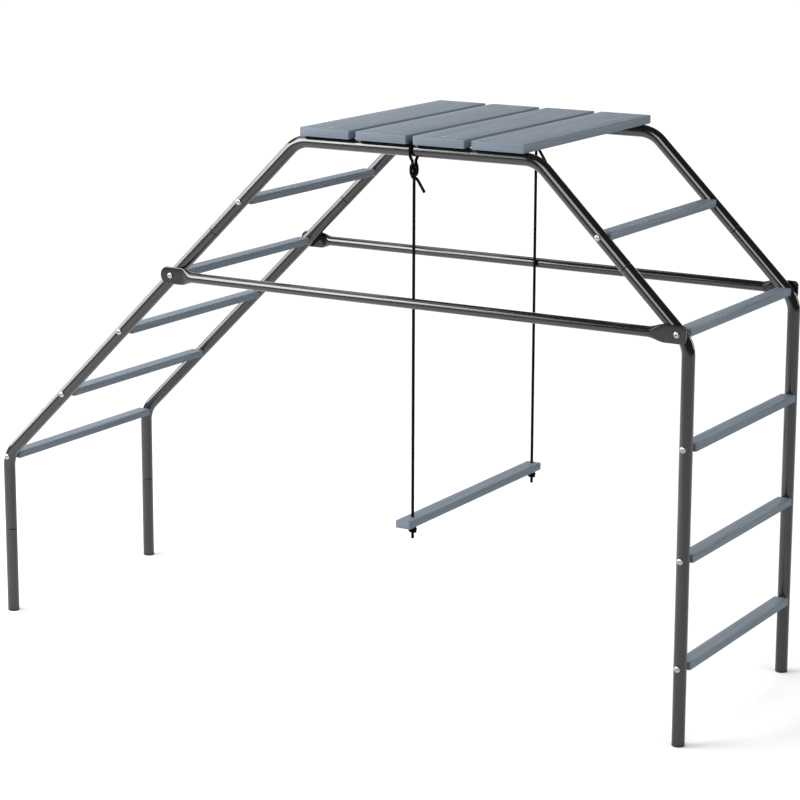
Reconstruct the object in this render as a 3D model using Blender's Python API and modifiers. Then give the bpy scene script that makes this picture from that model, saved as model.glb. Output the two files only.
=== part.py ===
"""Monkey bars: a climbing frame of two bent-tube side frames with wooden rungs, a plank
platform on top, two tie bars and a trapeze swing that hangs from the top tubes.

Blender 4.5, metres, +Z up.  X runs along the frame, from the long left slope to the tall
right ladder, and Y runs across it, from the front side frame to the back one.
"""
import math

import bmesh
import bpy
from mathutils import Matrix, Vector

# ---- driving dimensions, in metres -------------------------------------------------------
GAP = 0.0003                    # left between pieces that touch

TUBE_D = 0.038
TUBE_WALL = 0.002
BEND_RADIUS = 0.095             # to the tube's centre line, the same at every bend
BEND_STEPS = 5
LEG_SPAN = 2.397                # left leg centre to right leg centre
FRAME_SPACING = 0.746           # front side frame centre to back side frame centre
FRAME_MID_Y = 0.0105            # the frames sit behind the origin by half of what the bar sticks out
TOP_Z = 1.630                   # centre line of the top tubes
TOP_LEFT_X = -0.0738
TOP_RIGHT_X = 0.7203
LEFT_BEND_Z = 0.527
RIGHT_BEND_Z = 1.161

LEG_JOINT_Z = 0.278             # where the left foot leg plugs into the bent tube
LEFT_JOINT_Z = 1.335            # where the top arch plugs into the left bent tube
RIGHT_JOINT_Z = 1.352           # where the top arch plugs into the right bent tube
PLUG_LENGTH = 0.050
PLUG_D = 0.0326
PLUG_BORE_D = 0.0286
NECK = 0.006                    # from the joint back to where the bore narrows
NECK_TAPER = 0.001

CAP_BASE = 0.004
CAP_PLUG = 0.022

RUNG_WIDTH = 0.045
RUNG_THICKNESS = 0.022
LEFT_RUNG_Z = (0.759, 0.987, 1.186, 1.433)
RIGHT_SLOPE_RUNG_Z = (1.186, 1.431)
LADDER_RUNG_Z = (0.231, 0.545, 0.8645)

TIE_Z = 1.186
TIE_D = 0.0315
TIE_WALL = 0.0022
TIE_FLAT_HEIGHT = 0.053
TIE_FLAT_THICKNESS = 0.005
TIE_SLOT = 0.0006               # what is left of the bore where the tube is pressed flat
TIE_LEFT_TIP = 0.036            # bolt to the end of the flattened part
TIE_LEFT_FLAT = 0.074
TIE_LEFT_SHOULDER = 0.046
TIE_LEFT_CORNER = 0.0235
TIE_RIGHT_TIP = 0.028
TIE_RIGHT_FLAT = 0.064
TIE_RIGHT_SHOULDER = 0.054
TIE_RIGHT_CORNER = 0.012

BOARD_WIDTH = 0.168
BOARD_THICKNESS = 0.026
BOARD_LENGTH = 0.816
BOARD_SPACE = 0.0235
BOARD_COUNT = 4
DECK_MID_X = 0.3255

BOLT_HEAD_D = 0.019
BOLT_HEAD_H = 0.006
BOLT_D = 0.008
BOLT_IN_RUNG = 0.045
BOLT_HOLE_D = 0.0092
BOLT_HOLE_SPARE = 0.004         # the rung's pilot hole goes this much deeper than the bolt
CUTTER_REACH = 0.060            # from a frame's centre plane out to where a bolt hole's cutter starts
CUTTER_SPARE = 0.010            # how far the rope hole's cutter stands out of the swing bar

SCREW_HEAD_D = 0.012
SCREW_HEAD_H = 0.0036
SCREW_D = 0.0048
SCREW_LENGTH = 0.040
SCREW_HOLE_SPARE = 0.002        # the screw hole's cutter goes this much past the screw at both ends

SWING_X = 0.3225                # the ropes hang straight down from here
ROPE_D = 0.009
ROPE_HOLE_D = 0.0106
SWING_LIMIT = math.radians(30.0)
BAR_WIDTH = 0.048
BAR_THICKNESS = 0.023
BAR_TOP_Z = 0.541
BAR_LENGTH = 0.821
KNOT_TOP_Z = 1.600
KNOT_BOTTOM_Z = 1.546
KNOT_WIDTH = 0.032
KNOT_TAIL_REACH = 0.032         # the tail ends this far to +X of the rope
KNOT_TAIL_DROP = 0.038          # and this far below the knot
STOPPER_HEIGHT = 0.024
STOPPER_WIDTH = 0.026
STOPPER_TAIL_Z = 0.476

TUBE_SIDES_RESOLUTION = 6       # 16 sides
ROPE_SIDES_RESOLUTION = 2       # 8 sides
TURNED_SIDES = 8
SECTION_POINTS = 16             # round a tie bar's section

# ---- values worked out from them ---------------------------------------------------------
TUBE_R = TUBE_D / 2
ROPE_R = ROPE_D / 2
RUNG_OVERHANG = (RUNG_WIDTH - TUBE_D) / 2
LEFT_LEG_X = -(LEG_SPAN + RUNG_OVERHANG) / 2
RIGHT_LEG_X = (LEG_SPAN - RUNG_OVERHANG) / 2
SIDES = {"front": -1, "back": 1}
BOARD_BOTTOM_Z = TOP_Z + TUBE_R + GAP
BOARD_TOP_Z = BOARD_BOTTOM_Z + BOARD_THICKNESS
TIE_REACH = FRAME_SPACING / 2 + TUBE_R + GAP + TIE_FLAT_THICKNESS / 2 + TIE_D / 2
BAR_FRONT_Y = -(FRAME_MID_Y + TIE_REACH)    # the box round the object is even about the origin
BAR_BACK_Y = BAR_FRONT_Y + BAR_LENGTH
SWING_AXIS_Z = TOP_Z + TUBE_R + ROPE_R + 2 * GAP

PAINT = ("painted_steel", (0.035, 0.036, 0.038), 0.28, 0.0)
WOOD = ("painted_wood", (0.20, 0.245, 0.29), 0.62, 0.0)
ROPE = ("black_rope", (0.012, 0.012, 0.013), 0.85, 0.0)
ZINC = ("zinc_bolt", (0.62, 0.58, 0.55), 0.32, 1.0)
SCREW = ("bronze_screw", (0.36, 0.27, 0.18), 0.42, 1.0)
PLASTIC = ("black_plastic", (0.02, 0.02, 0.021), 0.5, 0.0)


# ---- scene helpers -----------------------------------------------------------------------
def clear_scene():
    for thing in list(bpy.data.objects):
        bpy.data.objects.remove(thing, do_unlink=True)


def new_collection(name):
    collection = bpy.data.collections.new(name)
    bpy.context.scene.collection.children.link(collection)
    return collection


def material_for(look):
    """The Principled material of one finish, made once."""
    name, color, roughness, metallic = look
    found = bpy.data.materials.get(name)
    if found:
        return found
    material = bpy.data.materials.new(name)
    material.use_nodes = True
    shader = material.node_tree.nodes["Principled BSDF"]
    shader.inputs["Base Color"].default_value = (*color, 1.0)
    shader.inputs["Roughness"].default_value = roughness
    shader.inputs["Metallic"].default_value = metallic
    material.diffuse_color = (*color, 1.0)
    return material


def finish_part(thing, look, parent, smooth=True):
    """Give an object its material, its collection and its parent."""
    thing.data.materials.clear()
    thing.data.materials.append(material_for(look))
    parts.objects.link(thing)
    thing.parent = parent
    thing.matrix_parent_inverse = parent.matrix_world.inverted()
    if smooth:
        thing.data.shade_smooth()
        thing.data.set_sharp_from_angle(angle=math.radians(40))
    return thing


def add_tool(thing):
    """Keep a cutter, or a shape that a Boolean joins on, in the collection of tools."""
    tools.objects.link(thing)
    thing.hide_render = True
    thing.display_type = "WIRE"
    return thing


def boolean(target, tool, operation="DIFFERENCE"):
    modifier = target.modifiers.new(operation.lower(), "BOOLEAN")
    modifier.operation = operation
    modifier.solver = "EXACT"
    modifier.object = tool


def object_from_bmesh(name, shape):
    mesh = bpy.data.meshes.new(name)
    shape.to_mesh(mesh)
    shape.free()
    return bpy.data.objects.new(name, mesh)


def sweep(name, points, radii, resolution=TUBE_SIDES_RESOLUTION):
    """A solid round bar along points: a bevelled curve, turned into a closed mesh.

    radii is one radius for the whole bar, or a list with one for each point.
    """
    if not isinstance(radii, list):
        radii = [radii] * len(points)
    curve = bpy.data.curves.new(name, "CURVE")
    curve.dimensions = "3D"
    curve.bevel_depth = radii[0]
    curve.bevel_resolution = resolution
    curve.use_fill_caps = True
    spline = curve.splines.new("POLY")
    spline.points.add(len(points) - 1)
    for slot, point, radius in zip(spline.points, points, radii):
        slot.co = (*point, 1.0)
        slot.radius = radius / radii[0]
    guide = bpy.data.objects.new(name + "_guide", curve)
    bpy.context.scene.collection.objects.link(guide)
    bpy.context.view_layer.update()
    evaluated = guide.evaluated_get(bpy.context.evaluated_depsgraph_get())
    mesh = bpy.data.meshes.new_from_object(evaluated)
    mesh.transform(guide.matrix_world)
    bpy.data.objects.remove(guide, do_unlink=True)
    welded = bmesh.new()
    welded.from_mesh(mesh)
    bmesh.ops.remove_doubles(welded, verts=welded.verts, dist=0.00001)
    bmesh.ops.recalc_face_normals(welded, faces=welded.faces)
    welded.to_mesh(mesh)
    welded.free()
    return bpy.data.objects.new(name, mesh)


def turned(name, profile, steps=TURNED_SIDES):
    """Turn a profile of (radius, height) points, listed from the top down, about +Z."""
    outline = bmesh.new()
    verts = [outline.verts.new((radius, 0.0, height)) for radius, height in profile]
    for first, second in zip(verts, verts[1:]):
        outline.edges.new((first, second))
    thing = object_from_bmesh(name, outline)
    screw = thing.modifiers.new("turn", "SCREW")
    screw.axis = "Z"
    screw.steps = steps
    screw.render_steps = steps
    screw.use_merge_vertices = True
    screw.merge_threshold = 0.00001
    return thing


def box(name, size, centre):
    shape = bmesh.new()
    bmesh.ops.create_cube(shape, size=1.0)
    bmesh.ops.scale(shape, vec=size, verts=shape.verts)
    bmesh.ops.translate(shape, vec=centre, verts=shape.verts)
    return object_from_bmesh(name, shape)


def ellipsoid(name, width, height, centre):
    shape = bmesh.new()
    bmesh.ops.create_uvsphere(shape, u_segments=10, v_segments=6, radius=0.5)
    bmesh.ops.scale(shape, vec=(width, width, height), verts=shape.verts)
    bmesh.ops.translate(shape, vec=centre, verts=shape.verts)
    return object_from_bmesh(name, shape)


# ---- the side frames' outline ------------------------------------------------------------
def frame_y(side):
    """Y of a side frame's centre plane."""
    return FRAME_MID_Y + SIDES[side] * FRAME_SPACING / 2


def on_line(start, end, z):
    """The point of the straight line from start to end, both (x, z), at height z."""
    share = (z - start[1]) / (end[1] - start[1])
    return (start[0] + share * (end[0] - start[0]), z)


LEFT_BEND = (LEFT_LEG_X, LEFT_BEND_Z)
TOP_LEFT = (TOP_LEFT_X, TOP_Z)
TOP_RIGHT = (TOP_RIGHT_X, TOP_Z)
RIGHT_BEND = (RIGHT_LEG_X, RIGHT_BEND_Z)
LEFT_JOINT = on_line(LEFT_BEND, TOP_LEFT, LEFT_JOINT_Z)
RIGHT_JOINT = on_line(TOP_RIGHT, RIGHT_BEND, RIGHT_JOINT_Z)


def rounded(corner, before, after):
    """The arc of (x, z) points that rounds one corner of the outline."""
    corner, before, after = Vector(corner), Vector(before), Vector(after)
    back = (before - corner).normalized()
    ahead = (after - corner).normalized()
    half = back.angle(ahead) / 2
    centre = corner + (back + ahead).normalized() * (BEND_RADIUS / math.sin(half))
    first = corner + back * (BEND_RADIUS / math.tan(half)) - centre
    turn = math.pi - 2 * half
    if first.x * ahead.y - first.y * ahead.x < 0:
        turn = -turn
    arc = []
    for step in range(BEND_STEPS + 1):
        angle = turn * step / BEND_STEPS
        spoke = Matrix.Rotation(angle, 2) @ first
        arc.append(tuple(centre + spoke))
    return arc


def arc_middle(corner, before, after):
    """The middle of a bend, on the tube's centre line."""
    corner, before, after = Vector(corner), Vector(before), Vector(after)
    back = (before - corner).normalized()
    ahead = (after - corner).normalized()
    half = back.angle(ahead) / 2
    inward = BEND_RADIUS / math.sin(half) - BEND_RADIUS
    return tuple(corner + (back + ahead).normalized() * inward)


def step_along(start, towards, distance):
    """The (x, z) point at a distance from start on the way to another point."""
    start, towards = Vector(start), Vector(towards)
    return tuple(start + (towards - start).normalized() * distance)


# ---- tubes -------------------------------------------------------------------------------
def tube_stations(outline, plug_ends, inner):
    """The (point, radius) stations of a tube's outside or of its bore, end to end.

    A plug end is necked down, and runs on past the joint to slide into its mate.
    """
    body_r = TUBE_R - TUBE_WALL if inner else TUBE_R
    plug_r = PLUG_BORE_D / 2 if inner else PLUG_D / 2
    past = NECK if inner else 0.0
    stations = [(point, body_r) for point in outline[1:-1]]
    for end in ("start", "end"):
        at_end, next_in = (outline[0], outline[1]) if end == "start" else (outline[-1], outline[-2])
        tip = [(step_along(at_end, next_in, -past), body_r)]
        if end in plug_ends:
            tip = [
                (step_along(at_end, next_in, past + NECK_TAPER), body_r),
                (step_along(at_end, next_in, past), plug_r),
                (step_along(at_end, next_in, -PLUG_LENGTH - past), plug_r),
            ]
        stations = tip[::-1] + stations if end == "start" else stations + tip
    return stations


def make_tube(name, outline, y, parent, plug_ends=()):
    """One hollow tube of a side frame."""
    skins = []
    for inner in (False, True):
        stations = tube_stations(outline, plug_ends, inner)
        points = [(x, y, z) for (x, z), radius in stations]
        radii = [radius for point, radius in stations]
        skins.append(sweep(name + "_bore" if inner else name, points, radii))
    tube, bore = skins
    boolean(tube, add_tool(bore))
    return finish_part(tube, PAINT, parent)


def make_side_frame(side, parent):
    """The four tubes of one side frame and the plastic caps in its two feet."""
    y = frame_y(side)
    foot_z = CAP_BASE + GAP
    left_bend = rounded(LEFT_BEND, (LEFT_LEG_X, 0.0), TOP_LEFT)
    right_bend = rounded(RIGHT_BEND, TOP_RIGHT, (RIGHT_LEG_X, 0.0))
    top_left_bend = rounded(TOP_LEFT, LEFT_BEND, TOP_RIGHT)
    top_right_bend = rounded(TOP_RIGHT, TOP_LEFT, RIGHT_BEND)
    tubes = {
        "left_foot_leg": make_tube(
            side + "_left_foot_leg",
            [(LEFT_LEG_X, foot_z), (LEFT_LEG_X, LEG_JOINT_Z)],
            y, parent, ("end",)),
        "left_bent_tube": make_tube(
            side + "_left_bent_tube",
            [(LEFT_LEG_X, LEG_JOINT_Z + GAP), *left_bend, step_along(LEFT_JOINT, LEFT_BEND, GAP)],
            y, parent),
        "top_arch_tube": make_tube(
            side + "_top_arch_tube",
            [LEFT_JOINT, *top_left_bend, *top_right_bend, RIGHT_JOINT],
            y, parent, ("start", "end")),
        "right_bent_tube": make_tube(
            side + "_right_bent_tube",
            [step_along(RIGHT_JOINT, RIGHT_BEND, GAP), *right_bend, (RIGHT_LEG_X, foot_z)],
            y, parent),
    }
    for foot, x in (("left", LEFT_LEG_X), ("right", RIGHT_LEG_X)):
        make_foot_cap(side + "_" + foot + "_foot_cap", x, y, parent)
    return tubes


def make_foot_cap(name, x, y, parent):
    """A plastic cap: a disc under the tube with a plug up its bore."""
    plug_r = PLUG_D / 2
    profile = [
        (0.0, CAP_BASE + CAP_PLUG),
        (plug_r, CAP_BASE + CAP_PLUG),
        (plug_r, CAP_BASE),
        (TUBE_R, CAP_BASE),
        (TUBE_R, 0.0),
        (0.0, 0.0),
    ]
    cap = turned(name, profile, steps=12)
    cap.location = (x, y, 0.0)
    return finish_part(cap, PLASTIC, parent)


# ---- rungs and bolts ---------------------------------------------------------------------
def rung_places():
    """Name and (x, z) of every rung, from the bottom of the left side to that of the right."""
    places = {"rung_left_1": arc_middle(LEFT_BEND, (LEFT_LEG_X, 0.0), TOP_LEFT)}
    for number, z in enumerate(LEFT_RUNG_Z, start=2):
        places["rung_left_%d" % number] = on_line(LEFT_BEND, TOP_LEFT, z)
    for number, z in enumerate(LADDER_RUNG_Z, start=1):
        places["rung_right_%d" % number] = (RIGHT_LEG_X, z)
    for number, z in enumerate(RIGHT_SLOPE_RUNG_Z, start=4):
        places["rung_right_%d" % number] = on_line(TOP_RIGHT, RIGHT_BEND, z)
    return places


def tube_of(place):
    """Which tube of a side frame a rung is bolted to."""
    x, z = place
    if x < 0:
        return "left_bent_tube" if z < LEFT_JOINT_Z else "top_arch_tube"
    return "right_bent_tube" if z < RIGHT_JOINT_Z else "top_arch_tube"


def make_rung(name, place, parent):
    length = FRAME_SPACING - TUBE_D - 2 * GAP
    size = (RUNG_WIDTH, length, RUNG_THICKNESS)
    rung = box(name, size, (place[0], FRAME_MID_Y, place[1]))
    return finish_part(rung, WOOD, parent, smooth=False)


def facing(side):
    """Turns +Z to point out of a side frame, away from the rungs."""
    return Matrix.Rotation(-SIDES[side] * math.pi / 2, 4, "X")


def make_bolt(name, place, side, seat, parent):
    """A domed bolt whose head rests at a distance, seat, outside the frame's centre plane."""
    reach = seat + TUBE_R + BOLT_IN_RUNG
    head_r = BOLT_HEAD_D / 2
    profile = [
        (0.0, BOLT_HEAD_H),
        (head_r * 0.55, BOLT_HEAD_H * 0.85),
        (head_r, 0.0),
        (BOLT_D / 2, 0.0),
        (BOLT_D / 2, -reach),
        (0.0, -reach),
    ]
    bolt = turned(name, profile)
    y = frame_y(side) + SIDES[side] * seat
    bolt.matrix_world = Matrix.Translation((place[0], y, place[1])) @ facing(side)
    return finish_part(bolt, ZINC, parent)


def make_bolt_cutter(name, place, side):
    """A hole from outside the frame to the bottom of the rung's pilot hole."""
    outer = frame_y(side) + SIDES[side] * CUTTER_REACH
    inner = frame_y(side) - SIDES[side] * (TUBE_R + BOLT_IN_RUNG + BOLT_HOLE_SPARE)
    ends = [(place[0], outer, place[1]), (place[0], inner, place[1])]
    return add_tool(sweep(name, ends, BOLT_HOLE_D / 2, resolution=2))


# ---- tie bars ----------------------------------------------------------------------------
def tie_section(half_height, half_thickness):
    """Points round a section in the plane across a tie bar: a stadium, round when they're equal."""
    corner = min(half_height, half_thickness)
    straight = half_height - corner
    ring = []
    for step in range(SECTION_POINTS):
        angle = 2 * math.pi * (step + 0.5) / SECTION_POINTS
        across = corner * math.cos(angle)
        up = corner * math.sin(angle)
        ring.append((across, up + math.copysign(straight, up)))
    return ring


def tie_end_stations(tip, flat_length, shoulder, corner):
    """(x, share flattened, trim) from a tip inwards: trim is what a rounded corner takes off."""
    stations = []
    for step in range(4):
        reach = corner * (1 - math.cos(math.pi / 2 * step / 3))
        trim = corner * (1 - math.sin(math.pi / 2 * step / 3))
        stations.append((tip - reach, 1.0, trim))
    stations.append((tip - flat_length, 1.0, 0.0))
    for step in range(1, 5):
        share = 0.5 + 0.5 * math.cos(math.pi * step / 4)
        stations.append((tip - flat_length - shoulder * step / 4, share, 0.0))
    return stations


def tie_stations(half_span):
    """The stations from the right tip to the left one, about the middle of the two bolts."""
    right = tie_end_stations(half_span + TIE_RIGHT_TIP, TIE_RIGHT_FLAT, TIE_RIGHT_SHOULDER, TIE_RIGHT_CORNER)
    left = tie_end_stations(half_span + TIE_LEFT_TIP, TIE_LEFT_FLAT, TIE_LEFT_SHOULDER, TIE_LEFT_CORNER)
    return right + [(-x, share, trim) for x, share, trim in reversed(left)]


def make_tie_bar(name, side, ends, parent):
    """A tube pressed flat at both ends and bolted to the frame's outer face."""
    left, right = ends
    y = frame_y(side) + SIDES[side] * (TUBE_R + GAP + TIE_FLAT_THICKNESS / 2)
    shape = bmesh.new()
    skins = []
    for inner in (False, True):
        rings = []
        for x, share, trim in tie_stations((right - left) / 2):
            flat_height = TIE_FLAT_HEIGHT / 2 - trim
            height = TIE_D / 2 + share * (flat_height - TIE_D / 2)
            thickness = TIE_D / 2 + share * (TIE_FLAT_THICKNESS / 2 - TIE_D / 2)
            if inner:
                wall = TIE_WALL + share * (TIE_FLAT_THICKNESS / 2 - TIE_SLOT / 2 - TIE_WALL)
                height -= wall
                thickness -= wall
            ring = [shape.verts.new((x, across, up)) for across, up in tie_section(height, thickness)]
            rings.append(ring)
        skins.append(rings)
    for rings in skins:
        for first, second in zip(rings, rings[1:]):
            join_rings(shape, first, second)
    for end in (0, -1):
        join_rings(shape, skins[0][end], skins[1][end])
    bmesh.ops.recalc_face_normals(shape, faces=shape.faces)
    bar = object_from_bmesh(name, shape)
    bar.location = ((left + right) / 2, y, TIE_Z)
    return finish_part(bar, PAINT, parent)


def join_rings(shape, first, second):
    """Quads between two rings of the same number of vertices."""
    count = len(first)
    for index in range(count):
        after = (index + 1) % count
        shape.faces.new((first[index], first[after], second[after], second[index]))


# ---- platform ----------------------------------------------------------------------------
def screw_profile(clearance, length):
    head_r = SCREW_HEAD_D / 2 + clearance
    shank_r = SCREW_D / 2 + clearance
    return [
        (0.0, 0.0),
        (head_r, 0.0),
        (shank_r, -SCREW_HEAD_H),
        (shank_r, -length),
        (0.0, -length),
    ]


def make_screw_cutter(name, x, y):
    """The countersunk hole, open at the top, with room round the screw."""
    clearance = 2 * GAP
    profile = screw_profile(clearance, SCREW_LENGTH + SCREW_HOLE_SPARE)
    profile = [(0.0, SCREW_HOLE_SPARE), (profile[1][0], SCREW_HOLE_SPARE)] + profile[1:]
    cutter = turned(name, profile)
    cutter.location = (x, y, BOARD_TOP_Z)
    return add_tool(cutter)


def make_platform(tubes, parent):
    """The deck boards and the two screws that hold each of them to the top tubes."""
    pitch = BOARD_WIDTH + BOARD_SPACE
    for number in range(1, BOARD_COUNT + 1):
        x = DECK_MID_X + pitch * (number - (BOARD_COUNT + 1) / 2)
        centre = (x, FRAME_MID_Y, BOARD_BOTTOM_Z + BOARD_THICKNESS / 2)
        board = box("deck_board_%d" % number, (BOARD_WIDTH, BOARD_LENGTH, BOARD_THICKNESS), centre)
        for side in SIDES:
            y = frame_y(side)
            name = "deck_screw_%s_%d" % (side, number)
            cutter = make_screw_cutter(name + "_hole", x, y)
            boolean(board, cutter)
            boolean(tubes[side]["top_arch_tube"], cutter)
            screw = turned(name, screw_profile(0.0, SCREW_LENGTH))
            screw.location = (x, y, BOARD_TOP_Z)
            finish_part(screw, SCREW, parent)
        finish_part(board, WOOD, parent, smooth=False)


# ---- swing -------------------------------------------------------------------------------
def loop_points(y):
    """The rope's loop round a top tube, in the plane across the tube.

    Its lower half is an ellipse, stretched so that the loop still clears the tube when the
    swing is tilted to its limit about the top of the tube.
    """
    tilt = math.cos(SWING_LIMIT)
    radius = TUBE_R + ROPE_R + 2 * GAP
    drop = SWING_AXIS_Z - TOP_Z
    points = []
    for step in range(13):
        angle = math.pi * (1.0 - step / 12)
        points.append((SWING_X, y + radius * math.cos(angle), TOP_Z + radius * math.sin(angle)))
    lower = []
    for step in range(1, 5):
        angle = math.pi / 2 * step / 5
        across = radius * math.cos(angle)
        below = (drop + radius * math.sin(angle)) / tilt
        lower.append((across, SWING_AXIS_Z - below))
    lower.append((ROPE_R, KNOT_TOP_Z - KNOT_WIDTH / 2))
    front = [(SWING_X, y - across, z) for across, z in reversed(lower)]
    back = [(SWING_X, y + across, z) for across, z in lower]
    return front + points + back


def make_rope(side, parent):
    """One rope: loop and knot above, a straight fall, a stopper knot and its tail below."""
    y = frame_y(side)
    name = "swing_rope_" + side
    fall = [(SWING_X, y, KNOT_BOTTOM_Z + 0.010), (SWING_X, y, STOPPER_TAIL_Z)]
    rope = sweep(name, fall, ROPE_R, ROPE_SIDES_RESOLUTION)
    loop = sweep(name + "_loop", loop_points(y), ROPE_R, ROPE_SIDES_RESOLUTION)
    knot_height = KNOT_TOP_Z - KNOT_BOTTOM_Z
    knot_centre = (SWING_X, y, (KNOT_TOP_Z + KNOT_BOTTOM_Z) / 2)
    knot = ellipsoid(name + "_knot", KNOT_WIDTH, knot_height, knot_centre)
    tail_start = (SWING_X + ROPE_R, y, KNOT_BOTTOM_Z + KNOT_WIDTH / 2)
    tail_end = (SWING_X + KNOT_TAIL_REACH, y, KNOT_BOTTOM_Z - KNOT_TAIL_DROP)
    tail = sweep(name + "_tail", [tail_start, tail_end], ROPE_R, ROPE_SIDES_RESOLUTION)
    stopper_top = BAR_TOP_Z - BAR_THICKNESS - GAP
    stopper_centre = (SWING_X, y, stopper_top - STOPPER_HEIGHT / 2)
    stopper = ellipsoid(name + "_stopper", STOPPER_WIDTH, STOPPER_HEIGHT, stopper_centre)
    for piece in (loop, knot, tail, stopper):
        boolean(rope, add_tool(piece), "UNION")
    return finish_part(rope, ROPE, parent)


def make_swing_bar(parent):
    size = (BAR_WIDTH, BAR_BACK_Y - BAR_FRONT_Y, BAR_THICKNESS)
    centre = (SWING_X, (BAR_BACK_Y + BAR_FRONT_Y) / 2, BAR_TOP_Z - BAR_THICKNESS / 2)
    bar = box("swing_bar", size, centre)
    for side in SIDES:
        y = frame_y(side)
        above = BAR_TOP_Z + CUTTER_SPARE
        below = BAR_TOP_Z - BAR_THICKNESS - CUTTER_SPARE
        ends = [(SWING_X, y, above), (SWING_X, y, below)]
        hole = sweep("swing_bar_hole_" + side, ends, ROPE_HOLE_D / 2, ROPE_SIDES_RESOLUTION)
        boolean(bar, add_tool(hole))
    return finish_part(bar, WOOD, parent, smooth=False)


# ---- assembly ----------------------------------------------------------------------------
def new_empty(name, location):
    empty = bpy.data.objects.new(name, None)
    empty.location = location
    parts.objects.link(empty)
    bpy.context.view_layer.update()
    return empty


def build():
    frame_root = new_empty("frame_root", (0.0, 0.0, 0.0))
    swing_axis = new_empty("swing_axis", (SWING_X, FRAME_MID_Y, SWING_AXIS_Z))
    tubes = {side: make_side_frame(side, frame_root) for side in SIDES}
    places = rung_places()
    tied = ("rung_left_4", "rung_right_4")
    tie_ends = (places[tied[0]][0], places[tied[1]][0])
    ties = {side: make_tie_bar(side + "_tie_bar", side, tie_ends, frame_root) for side in SIDES}
    for name, place in places.items():
        rung = make_rung(name, place, frame_root)
        for side in SIDES:
            bolt_name = name.replace("rung", "bolt") + "_" + side
            cutter = make_bolt_cutter(bolt_name + "_hole", place, side)
            boolean(rung, cutter)
            boolean(tubes[side][tube_of(place)], cutter)
            seat = TUBE_R + GAP
            if name in tied:
                boolean(ties[side], cutter)
                seat += TIE_FLAT_THICKNESS + GAP
            make_bolt(bolt_name, place, side, seat, frame_root)
    make_platform(tubes, frame_root)
    make_swing_bar(swing_axis)
    for side in SIDES:
        make_rope(side, swing_axis)


clear_scene()
parts = new_collection("monkey_bars")
tools = new_collection("cutters")
build()
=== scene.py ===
"""Monkey bars, the detailed model: painted tube frames, planed and stained timber, braided
ropes with their knots, bolts and screws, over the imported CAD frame.

Blender 4.5, metres, +Z up, in the same frame as the CAD.
"""
import math

import bmesh
import bpy
from mathutils import Matrix, Vector, noise


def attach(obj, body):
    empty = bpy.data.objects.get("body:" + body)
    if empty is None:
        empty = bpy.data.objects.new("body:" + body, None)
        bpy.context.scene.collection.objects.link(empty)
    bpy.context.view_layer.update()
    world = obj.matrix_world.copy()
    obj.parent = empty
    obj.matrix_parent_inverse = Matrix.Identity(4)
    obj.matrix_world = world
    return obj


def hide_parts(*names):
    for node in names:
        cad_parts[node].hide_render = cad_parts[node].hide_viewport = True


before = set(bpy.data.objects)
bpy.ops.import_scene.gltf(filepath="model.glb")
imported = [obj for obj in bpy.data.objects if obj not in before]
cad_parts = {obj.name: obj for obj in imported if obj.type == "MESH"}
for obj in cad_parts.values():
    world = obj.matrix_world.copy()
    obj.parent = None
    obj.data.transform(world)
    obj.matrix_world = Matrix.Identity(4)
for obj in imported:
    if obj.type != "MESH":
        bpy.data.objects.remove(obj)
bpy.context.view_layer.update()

# ---- sizes, in metres, the same as the CAD's ---------------------------------------------
GAP = 0.0003                    # left between pieces that touch

TUBE_R = 0.019
TUBE_WALL = 0.002
BEND_RADIUS = 0.095
LEG_SPAN = 2.397                # left leg centre to right leg centre
FRAME_MID_Y = 0.0105
FRAME_HALF = 0.373              # from the middle to a side frame's centre plane
TOP_Z = 1.630
TOP_LEFT_X = -0.0738
TOP_RIGHT_X = 0.7203
LEFT_BEND_Z = 0.527
RIGHT_BEND_Z = 1.161
LEG_JOINT_Z = 0.278
LEFT_JOINT_Z = 1.335
RIGHT_JOINT_Z = 1.352
PLUG_LENGTH = 0.050
PLUG_R = 0.0163
CAP_BASE = 0.004

RUNG_WIDTH = 0.045
RUNG_THICKNESS = 0.022
LEFT_RUNG_Z = (0.759, 0.987, 1.186, 1.433)
RIGHT_SLOPE_RUNG_Z = (1.186, 1.431)
LADDER_RUNG_Z = (0.231, 0.545, 0.8645)

TIE_Z = 1.186
TIE_FLAT_THICKNESS = 0.005
TIE_FLAT_HEIGHT = 0.053
TIE_LEFT_END = (0.036, 0.074, 0.046, 0.0235)    # tip, flat length, shoulder and corner
TIE_RIGHT_END = (0.028, 0.064, 0.054, 0.012)

BOARD_WIDTH = 0.168
BOARD_THICKNESS = 0.026
BOARD_LENGTH = 0.816
BOARD_PITCH = 0.1915            # centre to centre
BOARD_COUNT = 4
DECK_MID_X = 0.3255

SWING_X = 0.3225
SWING_LIMIT = math.radians(30.0)
ROPE_R = 0.0045
ROPE_END_Z = 0.476
BAR_WIDTH = 0.048
BAR_THICKNESS = 0.023
BAR_LENGTH = 0.821
BAR_TOP_Z = 0.541

# ---- sizes of the detail that the CAD leaves out -----------------------------------------
TIE_R = 0.01547                 # a hair under the CAD's, so that the bar stays inside it
JOINT_LIP = 0.0014              # bevels a tube's end, which shows as a line at a joint
RUNG_EDGE = 0.0016              # how far the edges of the timber are eased
BOARD_EDGE = 0.0022
BAR_EDGE = 0.0018
SCREW_DRIVE = (0.0029, 0.0008)  # reach and half width of the cross in a screw's head
BOLT_SOCKET = 0.0030            # the hexagon socket, centre to flat
BOLT_HEAD_R = 0.0094
ROPE_STEP = 0.0015              # between the rings of a rope's skin
FALL_TOP_Z = 1.545              # where a rope starts to hang straight, down to the bar
FALL_STEP = 0.05
FALL_STEPS = 20
STRANDS = 5                     # of the braid, each way round
PLAIT_TURN = 900.0              # radians per metre
PLAIT_DEPTH = 0.015
KNOT_TOP_Z = 1.597
KNOT_BOTTOM_Z = 1.548
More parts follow.
